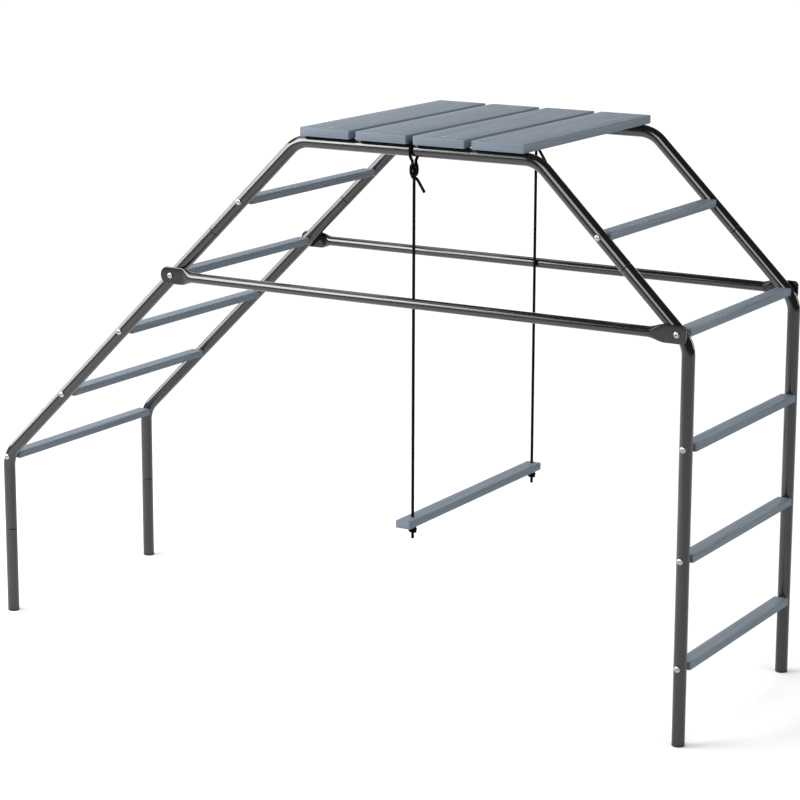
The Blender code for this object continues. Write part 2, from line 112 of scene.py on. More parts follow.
KNOT_ACROSS = (0.858, 0.513)    # the (x, y) direction across the knot's face
STOPPER_TURNS = 2.5
STOPPER_DROP = 0.0185
# where the rope runs through its upper knot: x and y from the line that it hangs on, and z
THROUGH_KNOT = (
    (-0.0010, -0.0088, 1.600), (-0.0028, -0.0040, 1.590), (-0.0018, 0.0008, 1.579),
    (0.0, 0.0, 1.567), (0.0, 0.0, 1.555),
)

# ---- the studio --------------------------------------------------------------------------
FADE_FROM, FADE_TO = 1.6, 4.5   # where the floor's glow comes in, from the middle outwards
DIM_FROM, DIM_TO = 8.0, 20.0    # where reflections see the glow die away
FLOOR_GLOW = 1.08

# ---- values worked out from them ---------------------------------------------------------
SIDES = {"front": -1, "back": 1}
RUNG_OVERHANG = RUNG_WIDTH / 2 - TUBE_R
LEFT_LEG_X = -(LEG_SPAN + RUNG_OVERHANG) / 2
RIGHT_LEG_X = (LEG_SPAN - RUNG_OVERHANG) / 2
LEFT_BEND = (LEFT_LEG_X, LEFT_BEND_Z)
TOP_LEFT = (TOP_LEFT_X, TOP_Z)
TOP_RIGHT = (TOP_RIGHT_X, TOP_Z)
RIGHT_BEND = (RIGHT_LEG_X, RIGHT_BEND_Z)
BOARD_TOP_Z = TOP_Z + TUBE_R + GAP + BOARD_THICKNESS
SWING_AXIS_Z = TOP_Z + TUBE_R + ROPE_R + 2 * GAP


# ---- camera ------------------------------------------------------------------------------
def make_camera():
    """A long lens, from the front right and a little above the deck."""
    data = bpy.data.cameras.new("camera")
    data.sensor_width = 36.0
    data.lens = 116.53
    data.shift_y = -0.0625
    camera = bpy.data.objects.new("camera", data)
    bpy.context.scene.collection.objects.link(camera)
    location = (4.0735, -6.7087, 2.6199)
    yaw, pitch, roll = -0.5391, -0.2106, -0.0032
    turn = Matrix.Rotation(-yaw, 4, "Z") @ Matrix.Rotation(math.pi / 2 + pitch, 4, "X")
    camera.matrix_world = Matrix.Translation(location) @ turn @ Matrix.Rotation(-roll, 4, "Z")
    bpy.context.scene.camera = camera


# ---- lights and floor --------------------------------------------------------------------
def softbox(name, azimuth, elevation, distance, size, radiance, glossy=True):
    """A rectangle of light that looks at the middle of the object; a fill stays out of gloss."""
    middle = Vector((0.0, 0.0, 0.9))
    turn, rise = math.radians(azimuth), math.radians(elevation)
    direction = Vector((math.cos(turn) * math.cos(rise), math.sin(turn) * math.cos(rise), math.sin(rise)))
    data = bpy.data.lights.new(name, "AREA")
    data.shape = "RECTANGLE"
    data.size, data.size_y = size
    data.energy = radiance * math.pi * size[0] * size[1]
    light = bpy.data.objects.new(name, data)
    light.location = middle + direction * distance
    light.rotation_euler = direction.to_track_quat("Z", "Y").to_euler()
    light.visible_camera = False
    light.visible_glossy = glossy
    bpy.context.scene.collection.objects.link(light)


def make_world():
    """White behind the object, and dim everywhere else so that gloss keeps its dark bands."""
    world = bpy.data.worlds.new("studio")
    world.use_nodes = True
    tree = world.node_tree
    tree.nodes.clear()
    path = tree.nodes.new("ShaderNodeLightPath")
    seen = tree.nodes.new("ShaderNodeBackground")
    seen.inputs["Strength"].default_value = 1.05
    dim = tree.nodes.new("ShaderNodeBackground")
    dim.inputs["Color"].default_value = (0.92, 0.96, 1.0, 1.0)
    dim.inputs["Strength"].default_value = 0.10
    mix = tree.nodes.new("ShaderNodeMixShader")
    out = tree.nodes.new("ShaderNodeOutputWorld")
    tree.links.new(path.outputs["Is Camera Ray"], mix.inputs["Fac"])
    tree.links.new(dim.outputs["Background"], mix.inputs[1])
    tree.links.new(seen.outputs["Background"], mix.inputs[2])
    tree.links.new(mix.outputs["Shader"], out.inputs["Surface"])
    bpy.context.scene.world = world
    bpy.context.scene.view_settings.view_transform = "Standard"


def make_floor():
    """A pale floor that glows further out, so that it runs out to a white distance.

    Reflections see the glow die away far out, which leaves them a dark horizon.
    """
    bpy.ops.mesh.primitive_plane_add(size=400.0, location=(0.0, 0.0, -0.0005))
    floor = bpy.context.object
    floor.name = "floor"
    material, tree, shader = new_material("floor_paper")
    grain = noise_node(tree, 3.0, 3.0)
    link_ramp(tree, grain.outputs["Fac"], shader.inputs["Base Color"],
              [(0.3, (0.67, 0.67, 0.67)), (0.7, (0.69, 0.69, 0.69))])
    shader.inputs["Roughness"].default_value = 0.9
    source = tree.nodes.new("ShaderNodeTexCoord")
    reach = tree.nodes.new("ShaderNodeVectorMath")
    reach.operation = "LENGTH"
    tree.links.new(source.outputs["Object"], reach.inputs[0])
    distance = reach.outputs["Value"]
    path = tree.nodes.new("ShaderNodeLightPath")
    for_camera = math_node(tree, "MULTIPLY", path.outputs["Is Camera Ray"], FLOOR_GLOW)
    for_the_rest = range_node(tree, distance, DIM_FROM, DIM_TO, FLOOR_GLOW, 0.1)
    glow = tree.nodes.new("ShaderNodeEmission")
    tree.links.new(math_node(tree, "MAXIMUM", for_the_rest, for_camera), glow.inputs["Strength"])
    fade = range_node(tree, distance, FADE_FROM, FADE_TO, 0.0, 1.0, "SMOOTHSTEP")
    mix = tree.nodes.new("ShaderNodeMixShader")
    tree.links.new(fade, mix.inputs["Fac"])
    tree.links.new(shader.outputs["BSDF"], mix.inputs[1])
    tree.links.new(glow.outputs["Emission"], mix.inputs[2])
    tree.links.new(mix.outputs["Shader"], tree.nodes["Material Output"].inputs["Surface"])
    floor.data.materials.append(material)


# ---- materials ---------------------------------------------------------------------------
def new_material(name):
    """A node material, with its node tree and its Principled shader."""
    material = bpy.data.materials.new(name)
    material.use_nodes = True
    tree = material.node_tree
    return material, tree, tree.nodes["Principled BSDF"]


def coordinates(tree, scale):
    """Object coordinates, stretched by scale."""
    source = tree.nodes.new("ShaderNodeTexCoord")
    mapping = tree.nodes.new("ShaderNodeMapping")
    mapping.inputs["Scale"].default_value = scale
    tree.links.new(source.outputs["Object"], mapping.inputs["Vector"])
    return mapping.outputs["Vector"]


def noise_node(tree, scale, detail, vector=None, roughness=0.5, distortion=0.0):
    """A noise texture, in plain object coordinates unless a vector is given."""
    node = tree.nodes.new("ShaderNodeTexNoise")
    node.inputs["Scale"].default_value = scale
    node.inputs["Detail"].default_value = detail
    node.inputs["Roughness"].default_value = roughness
    node.inputs["Distortion"].default_value = distortion
    tree.links.new(vector or coordinates(tree, (1.0, 1.0, 1.0)), node.inputs["Vector"])
    return node


def ramp_node(tree, value, stops):
    """A colour ramp through stops, a list of (position, (r, g, b))."""
    ramp = tree.nodes.new("ShaderNodeValToRGB")
    while len(ramp.color_ramp.elements) < len(stops):
        ramp.color_ramp.elements.new(0.5)
    for element, (position, color) in zip(ramp.color_ramp.elements, stops):
        element.position = position
        element.color = (*color, 1.0)
    tree.links.new(value, ramp.inputs["Fac"])
    return ramp.outputs["Color"]


def link_ramp(tree, value, socket, stops):
    """A colour ramp of a value, fed into a socket."""
    tree.links.new(ramp_node(tree, value, stops), socket)


def math_node(tree, operation, first, second=0.0):
    """Arithmetic on two values, each a number or another node's output."""
    node = tree.nodes.new("ShaderNodeMath")
    node.operation = operation
    for socket, value in zip(node.inputs, (first, second)):
        if isinstance(value, (int, float)):
            socket.default_value = value
        else:
            tree.links.new(value, socket)
    return node.outputs["Value"]


def range_node(tree, value, start, end, low, high, interpolation="LINEAR"):
    """Carries a value from the range start to end over to the range low to high."""
    node = tree.nodes.new("ShaderNodeMapRange")
    node.interpolation_type = interpolation
    for name, bound in (("From Min", start), ("From Max", end), ("To Min", low), ("To Max", high)):
        node.inputs[name].default_value = bound
    tree.links.new(value, node.inputs["Value"])
    return node.outputs["Result"]


def mix_color(tree, blend, factor, first, second):
    """Two colours mixed by a number or by another node's output."""
    node = tree.nodes.new("ShaderNodeMix")
    node.data_type = "RGBA"
    node.blend_type = blend
    node.clamp_result = True
    tree.links.new(first, node.inputs["A"])
    tree.links.new(second, node.inputs["B"])
    if isinstance(factor, float):
        node.inputs["Factor"].default_value = factor
    else:
        tree.links.new(factor, node.inputs["Factor"])
    return node.outputs["Result"]


def add_bump(tree, shader, height, strength, distance):
    """Roughens a shader's normal by a height."""
    bump = tree.nodes.new("ShaderNodeBump")
    bump.inputs["Strength"].default_value = strength
    bump.inputs["Distance"].default_value = distance
    tree.links.new(height, bump.inputs["Height"])
    tree.links.new(bump.outputs["Normal"], shader.inputs["Normal"])


def paint_material():
    """Glossy charcoal powder coat, with a slight orange peel."""
    material, tree, shader = new_material("charcoal_powder_coat")
    cloud = noise_node(tree, 9.0, 4.0)
    link_ramp(tree, cloud.outputs["Fac"], shader.inputs["Base Color"],
              [(0.25, (0.0030, 0.0030, 0.0031)), (0.75, (0.0048, 0.0048, 0.0050))])
    link_ramp(tree, noise_node(tree, 55.0, 5.0).outputs["Fac"], shader.inputs["Roughness"],
              [(0.3, (0.10, 0.10, 0.10)), (0.8, (0.17, 0.17, 0.17))])
    shader.inputs["IOR"].default_value = 1.6
    add_bump(tree, shader, noise_node(tree, 260.0, 2.0).outputs["Fac"], 0.008, 0.0004)
    return material


def wood_material(name, light, middle, dark):
    """Planed softwood under blue-grey stain: grain along Y, and rings on the sawn ends."""
    material, tree, shader = new_material(name)
    long_grain = noise_node(tree, 1.0, 6.0, coordinates(tree, (170.0, 3.2, 170.0)), 0.66, 0.3)
    broad = noise_node(tree, 1.0, 3.0, coordinates(tree, (16.0, 0.9, 16.0)), 0.5, 0.6)
    fibres = noise_node(tree, 1.0, 3.0, coordinates(tree, (520.0, 9.0, 520.0)), 0.6)
    rings = tree.nodes.new("ShaderNodeTexWave")
    rings.wave_type = "RINGS"
    rings.rings_direction = "Y"
    rings.inputs["Scale"].default_value = 48.0
    rings.inputs["Distortion"].default_value = 2.2
    rings.inputs["Detail"].default_value = 3.0
    rings.inputs["Detail Scale"].default_value = 2.0
    tree.links.new(coordinates(tree, (0.15, 0.02, 1.0)), rings.inputs["Vector"])
    pores = noise_node(tree, 900.0, 2.0)
    facing = tree.nodes.new("ShaderNodeTexCoord")
    split = tree.nodes.new("ShaderNodeSeparateXYZ")
    tree.links.new(facing.outputs["Normal"], split.inputs["Vector"])
    along = math_node(tree, "ABSOLUTE", split.outputs["Y"])
    is_end = math_node(tree, "GREATER_THAN", along, 0.8)
    grain = math_node(tree, "ADD", math_node(tree, "MULTIPLY", long_grain.outputs["Fac"], 0.7),
                      math_node(tree, "MULTIPLY", broad.outputs["Fac"], 0.3))
    side = ramp_node(tree, grain, [(0.36, dark), (0.46, middle), (0.56, light), (0.66, dark)])
    fibre_shade = ramp_node(tree, fibres.outputs["Fac"], [(0.35, (0.72, 0.74, 0.76)), (0.6, (1.0, 1.0, 1.0))])
    side = mix_color(tree, "MULTIPLY", 0.35, side, fibre_shade)
    end = ramp_node(tree, rings.outputs["Fac"], [(0.0, middle), (1.0, light)])
    pore_shade = ramp_node(tree, pores.outputs["Fac"], [(0.35, (0.7, 0.7, 0.7)), (0.6, (1.0, 1.0, 1.0))])
    end = mix_color(tree, "MULTIPLY", 0.3, end, pore_shade)
    color = mix_color(tree, "MIX", is_end, side, end)
    tree.links.new(color, shader.inputs["Base Color"])
    link_ramp(tree, long_grain.outputs["Fac"], shader.inputs["Roughness"],
              [(0.3, (0.62, 0.62, 0.62)), (0.7, (0.50, 0.50, 0.50))])
    shader.inputs["Specular IOR Level"].default_value = 0.28
    fine_relief = math_node(tree, "MULTIPLY", fibres.outputs["Fac"], 0.2)
    relief = math_node(tree, "ADD", fine_relief, long_grain.outputs["Fac"])
    add_bump(tree, shader, relief, 0.15, 0.0006)
    return material


def rope_material():
    """Black braided cord, with almost no shine."""
    material, tree, shader = new_material("black_braid")
    link_ramp(tree, noise_node(tree, 2600.0, 2.0).outputs["Fac"], shader.inputs["Base Color"],
              [(0.3, (0.0008, 0.0008, 0.0009)), (0.7, (0.0026, 0.0026, 0.0028))])
    shader.inputs["Roughness"].default_value = 0.78
    shader.inputs["Specular IOR Level"].default_value = 0.06
    add_bump(tree, shader, noise_node(tree, 2600.0, 2.0).outputs["Fac"], 0.4, 0.0003)
    return material


def metal_material(name, dark, light, roughness):
    """Plated steel, clouded a little by its passivation."""
    material, tree, shader = new_material(name)
    link_ramp(tree, noise_node(tree, 420.0, 4.0).outputs["Fac"], shader.inputs["Base Color"],
              [(0.3, dark), (0.7, light)])
    shader.inputs["Metallic"].default_value = 1.0
    link_ramp(tree, noise_node(tree, 900.0, 3.0).outputs["Fac"], shader.inputs["Roughness"],
              [(0.3, (roughness,) * 3), (0.7, (roughness + 0.12,) * 3)])
    add_bump(tree, shader, noise_node(tree, 1500.0, 2.0).outputs["Fac"], 0.08, 0.0002)
    return material


def plastic_material():
    """Black moulded plastic with a fine texture."""
    material, tree, shader = new_material("black_foot_plastic")
    link_ramp(tree, noise_node(tree, 60.0, 3.0).outputs["Fac"], shader.inputs["Base Color"],
              [(0.3, (0.014, 0.014, 0.015)), (0.7, (0.024, 0.024, 0.025))])
    shader.inputs["Roughness"].default_value = 0.45
    add_bump(tree, shader, noise_node(tree, 1800.0, 2.0).outputs["Fac"], 0.2, 0.0003)
    return material


# ---- pieces ------------------------------------------------------------------------------
def add_piece(name, mesh, material, body, nodes, place=None, angle=40.0):
    """Put a mesh in the scene as a piece that stands for CAD nodes and rides on a body."""
    piece = bpy.data.objects.new(name, mesh)
    bpy.context.scene.collection.objects.link(piece)
    if place is not None:
        piece.matrix_world = place
    if not mesh.materials:
        mesh.materials.append(material)
        mesh.shade_smooth()
        mesh.set_sharp_from_angle(angle=math.radians(angle))
    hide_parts(*nodes)
    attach(piece, body)
    return piece


def mesh_from(name, shape):
    """A mesh from a bmesh, with its faces turned outwards."""
    bmesh.ops.recalc_face_normals(shape, faces=shape.faces)
    mesh = bpy.data.meshes.new(name)
    shape.to_mesh(mesh)
    shape.free()
    return mesh


def circle(radius, height, count):
    """A level ring of points round the Z axis."""
    angles = [2 * math.pi * index / count for index in range(count)]
    return [(radius * math.cos(angle), radius * math.sin(angle), height) for angle in angles]


def loft(name, rings):
    """A closed mesh through rings of points, each with the same number of points."""
    shape = bmesh.new()
    made = [[shape.verts.new(point) for point in ring] for ring in rings]
    count = len(made[0])
    for first, second in zip(made, made[1:]):
        for index in range(count):
            after = (index + 1) % count
            shape.faces.new((first[index], first[after], second[after], second[index]))
    shape.faces.new(made[0][::-1])
    shape.faces.new(made[-1])
    return mesh_from(name, shape)


def frame_y(side):
    """Y of a side frame's centre plane."""
    return FRAME_MID_Y + SIDES[side] * FRAME_HALF


def on_line(start, end, z):
    """The point of the straight line from start to end, both (x, z), at height z."""
    share = (z - start[1]) / (end[1] - start[1])
    return (start[0] + share * (end[0] - start[0]), z)


def step_along(start, towards, distance):
    """The (x, z) point at a distance from start on the way to another point."""
    start, towards = Vector(start), Vector(towards)
    return tuple(start + (towards - start).normalized() * distance)


def rounded(corner, before, after, steps=24):
    """The arc of (x, z) points that rounds one bend."""
    corner, before, after = Vector(corner), Vector(before), Vector(after)
    back = (before - corner).normalized()
    ahead = (after - corner).normalized()
    half = back.angle(ahead) / 2
    centre = corner + (back + ahead).normalized() * (BEND_RADIUS / math.sin(half))
    spoke = corner + back * (BEND_RADIUS / math.tan(half)) - centre
    turn = math.pi - 2 * half
    if spoke.x * ahead.y - spoke.y * ahead.x < 0:
        turn = -turn
    angles = [turn * step / steps for step in range(steps + 1)]
    return [tuple(centre + Matrix.Rotation(angle, 2) @ spoke) for angle in angles]


def arc_middle(corner, before, after):
    """The middle of a bend, on the tube's centre line."""
    corner, before, after = Vector(corner), Vector(before), Vector(after)
    back = (before - corner).normalized()
    ahead = (after - corner).normalized()
    half = back.angle(ahead) / 2
    return tuple(corner + (back + ahead).normalized() * (BEND_RADIUS / math.sin(half) - BEND_RADIUS))


def ring_round(point, ahead, radius, y, count=40):
    """A ring of points round a (x, z) point of a side frame, square to the way ahead."""
    side = Vector((-ahead.y, ahead.x))
    ring = []
    for index in range(count):
        angle = 2 * math.pi * index / count
        x = point[0] + side.x * radius * math.cos(angle)
        z = point[1] + side.y * radius * math.cos(angle)
        ring.append((x, y + radius * math.sin(angle), z))
    return ring


def end_stations(plug):
    """A tube's end as (distance past the end, radius): its lip, then its plug or its bore."""
    lip = [(-JOINT_LIP, TUBE_R), (0.0, TUBE_R - JOINT_LIP)]
    if plug:
        bevel = 0.001
        return lip + [(0.0, PLUG_R), (PLUG_LENGTH - bevel, PLUG_R), (PLUG_LENGTH, PLUG_R - bevel)]
    bore_r = TUBE_R - TUBE_WALL
    bore_depth = PLUG_LENGTH + 0.01
    return lip + [(0.0, bore_r), (-bore_depth, bore_r)]


def make_tube(name, outline, y, start_plug=False, end_plug=False):
    """One tube of a side frame, open at a socket end and necked down at a plug end."""
    first = (Vector(outline[1]) - Vector(outline[0])).normalized()
    last = (Vector(outline[-1]) - Vector(outline[-2])).normalized()
    rings = []
    for past, radius in reversed(end_stations(start_plug)):
        rings.append(ring_round(tuple(Vector(outline[0]) - first * past), first, radius, y))
    for before, point, after in zip(outline, outline[1:], outline[2:]):
        arriving = (Vector(point) - Vector(before)).normalized()
        leaving = (Vector(after) - Vector(point)).normalized()
        rings.append(ring_round(point, (leaving + arriving).normalized(), TUBE_R, y))
    for past, radius in end_stations(end_plug):
        rings.append(ring_round(tuple(Vector(outline[-1]) + last * past), last, radius, y))
    add_piece(name + "_skin", loft(name, rings), PAINT, "frame", [name])


def make_side_frame(side):
    """The four tubes of one side frame and the plastic caps in its two feet."""
    y = frame_y(side)
    foot_z = CAP_BASE + GAP
    left_joint = on_line(LEFT_BEND, TOP_LEFT, LEFT_JOINT_Z)
    right_joint = on_line(TOP_RIGHT, RIGHT_BEND, RIGHT_JOINT_Z)
    left_bend = rounded(LEFT_BEND, (LEFT_LEG_X, 0.0), TOP_LEFT)
    right_bend = rounded(RIGHT_BEND, TOP_RIGHT, (RIGHT_LEG_X, 0.0))
    top_bends = rounded(TOP_LEFT, LEFT_BEND, TOP_RIGHT) + rounded(TOP_RIGHT, TOP_LEFT, RIGHT_BEND)
    make_tube(side + "_left_foot_leg", [(LEFT_LEG_X, foot_z), (LEFT_LEG_X, LEG_JOINT_Z)], y, end_plug=True)
    make_tube(side + "_left_bent_tube",
              [(LEFT_LEG_X, LEG_JOINT_Z + GAP), *left_bend, step_along(left_joint, LEFT_BEND, GAP)], y)
    make_tube(side + "_top_arch_tube", [left_joint, *top_bends, right_joint], y, True, True)
    make_tube(side + "_right_bent_tube",
              [step_along(right_joint, RIGHT_BEND, GAP), *right_bend, (RIGHT_LEG_X, foot_z)], y)
    for foot, x in (("left", LEFT_LEG_X), ("right", RIGHT_LEG_X)):
        make_foot_cap(side + "_" + foot + "_foot_cap", x, y)


def turned_mesh(name, profile, count=40):
    """A closed turned mesh about +Z from (radius, height) points."""
    return loft(name, [circle(radius, height, count) for radius, height in profile])


def make_foot_cap(name, x, y):
    """A moulded cap with a rounded sole edge, a shallow ring under it and a ribbed plug."""
    profile = [
        (0.0100, 0.0008), (0.0112, 0.0), (0.0172, 0.0), (0.0184, 0.0005), (0.0189, 0.0015),
        (0.0189, CAP_BASE - 0.0004), (0.0186, CAP_BASE), (0.0160, CAP_BASE), (0.0160, 0.008),
        (0.0166, 0.009), (0.0160, 0.010), (0.0160, 0.014), (0.0166, 0.015), (0.0160, 0.016),
        (0.0150, 0.025), (0.0100, 0.0255),
    ]
    mesh = turned_mesh(name, profile)
    place = Matrix.Translation((x, y, 0.0))
    add_piece(name + "_moulding", mesh, PLASTIC, "frame", [name], place)


# ---- tie bars ----------------------------------------------------------------------------
def tie_ring(x, half_height, half_thickness, count=48):
    """A stadium section across a tie bar, round where the two halves are equal."""
    corner = min(half_height, half_thickness)
    ring = []
    for index in range(count):
        angle = 2 * math.pi * (index + 0.5) / count
        up = corner * math.sin(angle)
        ring.append((x, corner * math.cos(angle), up + math.copysign(half_height - corner, up)))
    return ring


def tie_end(half_span, past_bolt, flat, shoulder, corner):
    """(x, half height, half thickness) of one pressed end, from its tip inwards."""
    tip = half_span + past_bolt
    stations = []
    for step in range(13):
        turn = math.pi / 2 * step / 12
        height = TIE_FLAT_HEIGHT / 2 - corner * (1 - math.sin(turn))
        stations.append((tip - corner * (1 - math.cos(turn)), height, TIE_FLAT_THICKNESS / 2))
    for step in range(21):
        share = 0.5 + 0.5 * math.cos(math.pi * step / 20)
        height = TIE_R + share * (TIE_FLAT_HEIGHT / 2 - TIE_R)
        thickness = TIE_R + share * (TIE_FLAT_THICKNESS / 2 - TIE_R)
        stations.append((tip - flat - shoulder * step / 20, height, thickness))
    return stations


def make_tie_bar(side, left, right):
    """A tube pressed flat at both ends: the left one is round-ended, the right one squarer."""
    name = side + "_tie_bar"
    half_span = (right - left) / 2
    right_end = tie_end(half_span, *TIE_RIGHT_END)
    left_end = tie_end(half_span, *TIE_LEFT_END)
    stations = right_end + [(-x, height, thickness) for x, height, thickness in reversed(left_end)]
    mesh = loft(name, [tie_ring(x, height, thickness) for x, height, thickness in stations])
    y = frame_y(side) + SIDES[side] * (TUBE_R + GAP + TIE_FLAT_THICKNESS / 2)
    place = Matrix.Translation(((left + right) / 2, y, TIE_Z))
    add_piece(name + "_skin", mesh, PAINT, "frame", [name], place)


# ---- timber ------------------------------------------------------------------------------
def plank_section(width, thickness, edge):
    """The (x, z) outline of a timber's section, with its four corners rounded."""
    section = []
    for corner in range(4):
        x = (width / 2 - edge) * (1 if corner in (0, 3) else -1)
        z = (thickness / 2 - edge) * (1 if corner in (0, 1) else -1)
        for step in range(5):
            angle = math.pi / 2 * (corner + step / 4)
            section.append((x + edge * math.cos(angle), z + edge * math.sin(angle)))
        if corner in (0, 2):
            section += [(x * share, z + math.copysign(edge, z)) for share in (0.5, 0.0, -0.5)]
    return section


def plank_mesh(name, size, centre, edge, seed, stations=40):
    """A planed timber: eased edges, and faces that are a hair out of true."""
    width, length, thickness = size
    section = plank_section(width, thickness, edge)
    places = [(-length / 2, edge), (-length / 2 + edge * 0.3, edge * 0.3), (-length / 2 + edge, 0.0)]
    inner = length / 2 - edge
    places += [(-inner + 2 * inner * step / stations, 0.0) for step in range(1, stations)]
    places += [(-y, inset) for y, inset in reversed(places[:3])]
    rings = []
    for y, inset in places:
        ring = []
        for x, z in section:
            inset_x = x * (width / 2 - inset) / (width / 2)
            inset_z = z * (thickness / 2 - inset) / (thickness / 2)
            drift = noise.noise(Vector((x * 14 + seed, y * 3.5, z * 14)))
            shrink = 1 - 0.004 * abs(drift)
            ring.append((centre[0] + inset_x * shrink, centre[1] + y, centre[2] + inset_z * shrink))
        rings.append(ring)
    return loft(name, rings)


def cut(piece_mesh, cutters):
    """The mesh with the cutters' shapes taken out of it."""
    target = bpy.data.objects.new("cut_target", piece_mesh)
    bpy.context.scene.collection.objects.link(target)
    tools = []
    for mesh, place in cutters:
        tool = bpy.data.objects.new("cut_tool", mesh)
        tool.matrix_world = place
        bpy.context.scene.collection.objects.link(tool)
        modifier = target.modifiers.new("cut", "BOOLEAN")
        modifier.operation = "DIFFERENCE"
        modifier.solver = "EXACT"
        modifier.object = tool
        tools.append(tool)
    bpy.context.view_layer.update()
    evaluated = target.evaluated_get(bpy.context.evaluated_depsgraph_get())
    result = bpy.data.meshes.new_from_object(evaluated)
    for thing in (target, *tools):
        bpy.data.objects.remove(thing, do_unlink=True)
    return result


def make_rungs(places):
    """The rungs, each between the inner faces of the two side frames."""
    size = (RUNG_WIDTH, 2 * (FRAME_HALF - TUBE_R - GAP), RUNG_THICKNESS)
    for number, (name, place) in enumerate(places.items()):
        mesh = plank_mesh(name, size, (place[0], FRAME_MID_Y, place[1]), RUNG_EDGE, number * 3.7)
        add_piece(name + "_timber", mesh, WOOD, "frame", [name])


def make_platform():
    """Four boards with countersunk holes, and a screw in each hole."""
    profile = [(0.0068, 0.002), (0.0064, -0.0002), (0.0028, -0.0038), (0.0028, -0.028)]
    hole = turned_mesh("countersink", profile, 32)
    screw = screw_mesh()
    size = (BOARD_WIDTH, BOARD_LENGTH, BOARD_THICKNESS)
    for number in range(1, BOARD_COUNT + 1):
        x = DECK_MID_X + BOARD_PITCH * (number - (BOARD_COUNT + 1) / 2)
        node = "deck_board_%d" % number
        centre = (x, FRAME_MID_Y, BOARD_TOP_Z - BOARD_THICKNESS / 2)
        plank = plank_mesh(node, size, centre, BOARD_EDGE, number * 5.1, 48)
        places = [Matrix.Translation((x, frame_y(side), BOARD_TOP_Z)) for side in SIDES]
        board = cut(plank, [(hole, place) for place in places])
        add_piece(node + "_timber", board, WOOD, "frame", [node])
        for side, place in zip(SIDES, places):
            node = "deck_screw_%s_%d" % (side, number)
            turn = Matrix.Rotation(number * 0.9 + SIDES[side], 4, "Z")
            add_piece(node + "_steel", screw, SCREW, "frame", [node], place @ turn)


# ---- fasteners ---------------------------------------------------------------------------
def cross_radius(angle):
    """How far out the edge of a cross-shaped drive is at an angle."""
    reach, half_width = SCREW_DRIVE
    across, up = abs(math.cos(angle)) + 1e-6, abs(math.sin(angle)) + 1e-6
    return max(min(reach / across, half_width / up), min(reach / up, half_width / across))


def hex_radius(angle):
    """How far out the edge of a hexagon socket is at an angle."""
    from_flat = (angle + math.pi / 6) % (math.pi / 3) - math.pi / 6
    return BOLT_SOCKET / math.cos(from_flat)


def headed_mesh(name, head, socket, depth, shank, count=72):
    """A fastener about +Z: rings of its shank and head, (radius, height), then its drive recess."""
    rings = [circle(radius, height, count) for radius, height in shank + head]
    top = head[-1][1]
    recess = [(1.08, top), (1.0, top - 0.0002), (0.94, top - depth), (0.2, top - depth * 1.08)]
    for share, height in recess:
        ring = []
        for index in range(count):
            angle = 2 * math.pi * index / count
            radius = socket(angle) * share
            ring.append((radius * math.cos(angle), radius * math.sin(angle), height))
        rings.append(ring)
    return loft(name, rings)


def screw_mesh():
    """A countersunk deck screw with a cross recess, its head's top at z 0."""
    head = [(0.0050, -0.0010), (0.0059, -0.0003), (0.0058, -0.0001), (0.0040, 0.0)]
    return headed_mesh("deck_screw", head, cross_radius, 0.0018, [(0.0022, -0.039), (0.0023, -0.0036)])


def bolt_mesh():
    """A button-head bolt: domed head with a hexagon socket."""
    dome = [(BOLT_HEAD_R - 0.0004, 0.0), (BOLT_HEAD_R, 0.0004), (BOLT_HEAD_R, 0.0010)]
    for step in range(1, 8):
        turn = math.pi / 2 * step / 10
        dome.append((BOLT_HEAD_R * math.cos(turn) + 0.0002, 0.0010 + 0.0050 * math.sin(turn)))
    return headed_mesh("bolt", dome, hex_radius, 0.0028, [(0.0039, -0.060), (0.0039, 0.0)])


def make_bolts(places):
    """A bolt at both ends of each rung; those through a tie bar sit further out."""
    mesh = bolt_mesh()
    for index, (name, place) in enumerate(places.items()):
        for side in SIDES:
            seat = TUBE_R + GAP
            if name.endswith("_4"):
                seat += TIE_FLAT_THICKNESS + GAP
            node = name.replace("rung", "bolt") + "_" + side
            y = frame_y(side) + SIDES[side] * seat
            out = Matrix.Rotation(-SIDES[side] * math.pi / 2, 4, "X")
            turn = Matrix.Rotation(index * 1.3 + SIDES[side] * 0.4, 4, "Z")
            seated = Matrix.Translation((place[0], y, place[1])) @ out @ turn
            add_piece(node + "_steel", mesh, ZINC, "frame", [node], seated)


# ---- ropes -------------------------------------------------------------------------------
def smooth_line(points, spacing):
    """A Catmull-Rom curve through points, resampled at an even spacing."""
    points = [Vector(point) for point in points]
    padded = [2 * points[0] - points[1], *points, 2 * points[-1] - points[-2]]
    fine = []
    for a, b, c, d in zip(padded, padded[1:], padded[2:], padded[3:]):
        steps = max(4, int((c - b).length / 0.0008))
        for step in range(steps):
            t = step / steps
            fine.append(0.5 * (2 * b + (c - a) * t + (2 * a - 5 * b + 4 * c - d) * t ** 2
                               + (3 * b - a - 3 * c + d) * t ** 3))
    fine.append(points[-1])
    line, left = [fine[0]], spacing
    for before, after in zip(fine, fine[1:]):
        length = (after - before).length
        while length > 0 and left <= length:
            before = before + (after - before) * (left / length)
            line.append(before.copy())
            length = (after - before).length
            left = spacing
        left -= length
    line[-1] = fine[-1]
    return line


